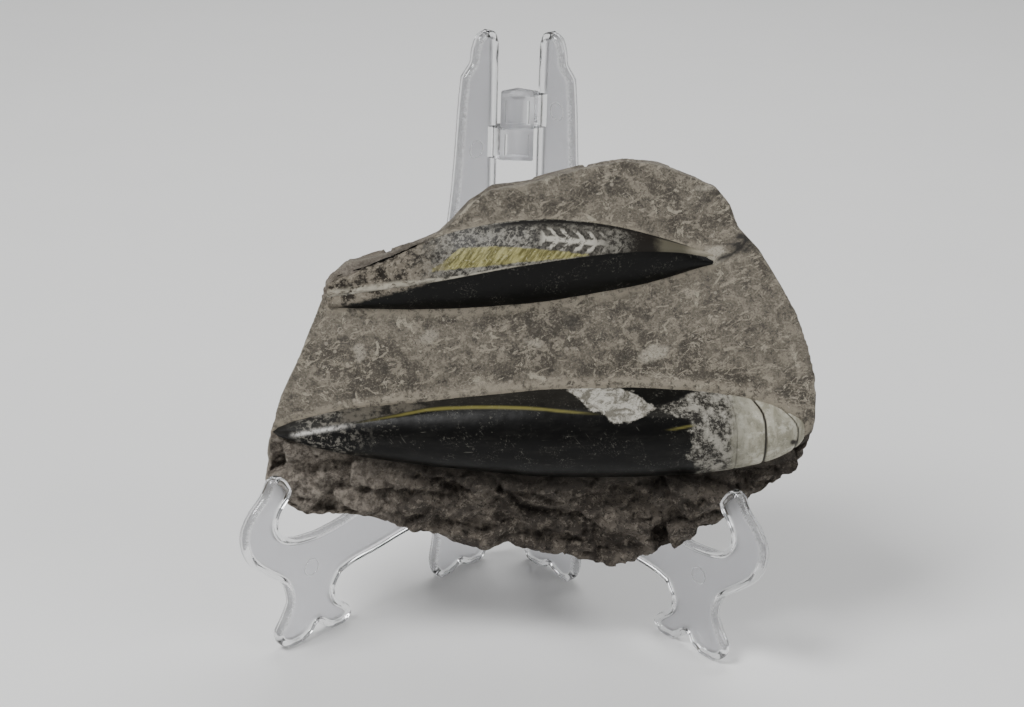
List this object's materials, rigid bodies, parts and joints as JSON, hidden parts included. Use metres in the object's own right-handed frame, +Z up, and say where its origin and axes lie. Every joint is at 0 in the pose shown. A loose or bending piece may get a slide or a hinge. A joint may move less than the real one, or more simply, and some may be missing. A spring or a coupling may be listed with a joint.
{
  "type": "orthoceras fossil plaque on a display easel",
  "caption": "Dark limestone slab with polished straight-shelled fossils standing proud of it, leaning on a clear plastic folding easel.",
  "frame": {"origin": "middle of the object's box, on the surface that it stands on", "axes": "+Z up, -Y towards the viewer, +X to the viewer's right"},
  "size_m": [0.1432, 0.067, 0.1512],
  "materials": {
    "limestone": "ground matt face, rough broken edges",
    "polished_shell": "polished black calcite with white and olive veins",
    "clear_plastic": "clear moulded polystyrene with glossy rims and frosted panels"
  },
  "bodies": {
    "display": {"limestone_matrix": "limestone", "orthoceras_lower": "polished_shell", "orthoceras_upper": "polished_shell", "easel_left_half": "clear_plastic"},
    "right_half": {"easel_right_half": "clear_plastic"}
  },
  "joints": [
    {"name": "easel_hinge", "type": "hinge", "parent": "display", "child": "right_half", "pos_m": [-0.00542, 0.02909, 0.126], "axis": [0, 0, 1], "range_deg": [0, 4.2]}
  ]
}
